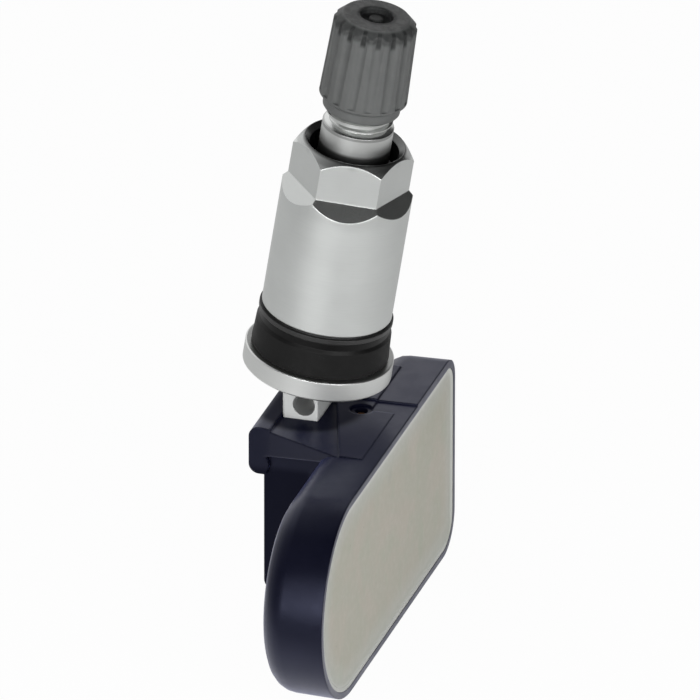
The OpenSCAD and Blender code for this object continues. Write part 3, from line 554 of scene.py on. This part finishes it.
def helix(name, root, crest, low, high, body, slot):
    """A thread ridge wound on a cylinder, or in one, and run out at both ends.

    The ridge is a trapezium, wide by flank at the root and by flat at the crest, each way.
    """
    start, flank, flat, steps = math.radians(-160), 0.26, 0.07, 48
    run_in, run_out, sunk = 0.3, 0.35, 0.02
    base = root - math.copysign(sunk, crest - root)
    count = int((high - low) / THREAD_PITCH * steps)
    verts, faces = [], []
    for i in range(count + 1):
        angle = start + 2 * math.pi * i / steps
        z = low + THREAD_PITCH * i / steps
        fade = min(1, i / (steps * run_in), (count - i) / (steps * run_out))
        tall = root + (crest - root) * max(0.02, fade)
        for radius, rise in ((base, -flank), (tall, -flat), (tall, flat), (base, flank)):
            verts.append((radius * math.cos(angle) * MM, radius * math.sin(angle) * MM,
                          (z + rise) * MM))
    for i in range(count):
        a, b = i * 4, i * 4 + 4
        for k in range(3):
            faces.append((a + k, b + k, b + k + 1, a + k + 1))
        faces.append((a + 3, b + 3, b, a))
    faces += [(0, 1, 2, 3), (count * 4 + 3, count * 4 + 2, count * 4 + 1, count * 4)]
    if crest < root:
        faces = [tuple(reversed(f)) for f in faces]
    return piece(name, verts, faces, body, slot, smooth=False)


def core_coil():
    """The core's return spring, with closed end turns."""
    low, high = (corner[2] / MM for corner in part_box("core_spring"))
    wire, mean, turns, steps, sides = 0.15, 0.85, 7, 24, 8
    closed, tight, travel = 0.9, 0.31, 1.0
    pitch = (high - low - 2 * wire - 2 * closed * tight) / (turns - 2 * closed)
    verts, faces, z = [], [], low + wire
    for i in range(turns * steps + 1):
        angle = 2 * math.pi * i / steps
        for k in range(sides):
            t = 2 * math.pi * k / sides
            r = mean + wire * math.cos(t)
            verts.append(Vector((r * math.cos(angle), r * math.sin(angle),
                                 z + wire * math.sin(t))) * MM)
        at = i / steps
        z += (tight if at < closed or at >= turns - closed else pitch) / steps
    for i in range(turns * steps):
        for k in range(sides):
            a, b = i * sides + k, i * sides + (k + 1) % sides
            faces.append((a, a + sides, b + sides, b))
    last = turns * steps * sides
    faces += [tuple(range(sides)), tuple(last + k for k in reversed(range(sides)))]
    made = piece("core_coil", verts, faces, "sensor", "spring_steel")
    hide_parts("core_spring")
    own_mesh(made)


def resin_fillet():
    """Where the resin wets the shell's wall and climbs to its rim."""
    inset, width, steps, sunk = WALL + 0.01, 0.5, 6, 0.04
    low, high, far = LOW_H + inset, TOP_H - inset, FAR_REACH - inset
    path = []

    def arc(y, h, r, start, end, count):
        for i in range(count + 1):
            a = math.radians(start + (end - start) * i / count)
            path.append((y + r * math.cos(a), h + r * math.sin(a), math.cos(a), math.sin(a)))

    top_r, low_r = FAR_TOP_R - inset, FAR_LOW_R - inset
    arc(NEAR_Y, MID_H, NEAR_R - inset, 270, 90, 72)
    arc(far - top_r, high - top_r, top_r, 90, 0, 16)
    arc(far - low_r, low + low_r, low_r, 0, -90, 20)
    climb = FACE_OUT - 0.02 - POT_X
    profile = [(0.0, POT_X - sunk), (0.0, FACE_OUT - 0.015)]
    profile += [(width * k / steps, POT_X + 0.004 + climb * (1 - k / steps) ** 2)
                for k in range(1, steps + 1)]
    profile.append((width, POT_X - sunk))
    verts, faces, n, m = [], [], len(path), len(profile)
    for y, h, out_y, out_h in path:
        for depth, x in profile:
            verts.append(leaned(x, y - out_y * depth, h - out_h * depth))
    for i in range(n):
        a, b = i * m, (i + 1) % n * m
        faces += [(a + k, b + k, b + (k + 1) % m, a + (k + 1) % m) for k in range(m)]
    piece("resin_fillet", verts, faces, "sensor", "potting_resin")


helix("tip_thread", THREAD_ROOT, THREAD_CREST, THREAD_LOW + 0.2, THREAD_HIGH - 0.45,
      "sensor", "valve_alloy")
helix("cap_thread", 3.95, 3.55, THREAD_LOW + 0.2 + THREAD_PITCH * 3.5, 39.4,
      "cap", "cap_plastic")
core_coil()
resin_fillet()


# ---- Floor, world and lamps ----
FRONT = (BACK - RISE * BACK.dot(RISE)).normalized()
CEILING = Vector((0.45, 0.25, 0.857)).normalized()
FLOOR_HALF, LAMP_REACH = 1.6, 0.55


def stage_floor():
    """White paper under the part.

    It glows white to the camera. In reflections it is a little dimmer away from the part, and
    dim ahead of it. From below it is clear.
    """
    middle = leaned(0, 0, LOW_H)
    side, along = ACROSS * FLOOR_HALF, Vector((0, FLOOR_HALF, 0))
    corners = [tuple(middle + a * side + b * along)
               for a, b in ((-1, -1), (1, -1), (1, 1), (-1, 1))]
    mesh = bpy.data.meshes.new("floor")
    mesh.from_pydata(corners, [], [(0, 1, 2, 3)])
    made = bpy.data.objects.new("floor", mesh)
    bpy.context.scene.collection.objects.link(made)
    s = Shader("floor_paper")
    tree, new = s.tree, s.tree.nodes.new
    fibre = s.ramp(s.noise(60, 2, 0.5), 0.3, 0.7)
    s.set(Base_Color=s.mix(fibre, (0.86, 0.86, 0.86), (0.89, 0.89, 0.89)), Roughness=0.9)
    rays = new("ShaderNodeLightPath").outputs
    seen = s.math("MAXIMUM", rays["Is Glossy Ray"], rays["Is Transmission Ray"])
    seen = s.math("MAXIMUM", rays["Is Camera Ray"], seen)
    ahead = s.ramp(s.along(FRONT), 34, 54, s.ramp(s.radius(), 45, 80, 1.0, 0.65), 0.42)
    glow, clear = new("ShaderNodeEmission"), new("ShaderNodeBsdfTransparent")
    blend, both = new("ShaderNodeMixShader"), new("ShaderNodeMixShader")
    glow.inputs["Color"].default_value = (1, 1, 1, 1)
    s.feed(glow.inputs["Strength"], s.math("MAXIMUM", ahead, rays["Is Camera Ray"]))
    s.feed(blend.inputs[0], s.times(seen, 0.97))
    s.feed(blend.inputs[1], s.bsdf.outputs[0])
    s.feed(blend.inputs[2], glow.outputs[0])
    s.feed(both.inputs[0], new("ShaderNodeNewGeometry").outputs["Backfacing"])
    s.feed(both.inputs[1], blend.outputs[0])
    s.feed(both.inputs[2], clear.outputs[0])
    s.feed(tree.nodes["Material Output"].inputs["Surface"], both.outputs[0])
    mesh.materials.append(s.material)


def studio_world():
    """White to the camera.

    To everything else it is a surround that is bright at the sides and behind the part, and dim
    overhead and in front.
    """
    world = bpy.data.worlds.new("studio")
    bpy.context.scene.world = world
    world.use_nodes = True
    tree = world.node_tree
    tree.nodes.clear()
    new, link = tree.nodes.new, tree.links.new
    where = new("ShaderNodeTexCoord").outputs["Generated"]

    def level(toward, low, high, first, last):
        """A smooth step from first to last as the direction turns toward another."""
        turned = new("ShaderNodeVectorMath")
        turned.operation = "DOT_PRODUCT"
        link(where, turned.inputs[0])
        turned.inputs[1].default_value = toward
        made = new("ShaderNodeMapRange")
        made.interpolation_type = "SMOOTHSTEP"
        link(turned.outputs["Value"], made.inputs["Value"])
        names = "From Min", "From Max", "To Min", "To Max"
        for key, value in zip(names, (low, high, first, last)):
            made.inputs[key].default_value = value
        return made.outputs[0]

    both = new("ShaderNodeMath")
    both.operation = "MULTIPLY"
    link(level(CEILING, 0.36, 0.60, 0.78, 0.05), both.inputs[0])
    link(level(FRONT, -0.9, 0.8, 1.4, 0.12), both.inputs[1])
    soft, white = new("ShaderNodeBackground"), new("ShaderNodeBackground")
    link(both.outputs[0], soft.inputs["Strength"])
    white.inputs["Color"].default_value = soft.inputs["Color"].default_value = (1, 1, 1, 1)
    white.inputs["Strength"].default_value = 1
    blend = new("ShaderNodeMixShader")
    link(new("ShaderNodeLightPath").outputs["Is Camera Ray"], blend.inputs[0])
    link(soft.outputs[0], blend.inputs[1])
    link(white.outputs[0], blend.inputs[2])
    link(blend.outputs[0], new("ShaderNodeOutputWorld").inputs["Surface"])


def lamp(name, turn, rise, size, power):
    """A soft panel, turned away from the camera and raised by angles in degrees."""
    a, e = math.radians(turn), math.radians(rise)
    place = (FRONT * math.cos(a) * math.cos(e) + RISE.cross(FRONT) * math.sin(a) * math.cos(e)
             + RISE * math.sin(e)) * LAMP_REACH
    light = bpy.data.lights.new(name, "AREA")
    light.shape = "RECTANGLE"
    light.size, light.size_y = size
    light.energy = power
    made = bpy.data.objects.new(name, light)
    bpy.context.scene.collection.objects.link(made)
    made.location = place
    made.rotation_euler = (-place).to_track_quat("-Z", "Y").to_euler()


stage_floor()
studio_world()
lamp("key_left", -22, 10, (0.42, 0.42), 2.6)
lamp("fill_right", 32, 10, (0.42, 0.42), 2.6)
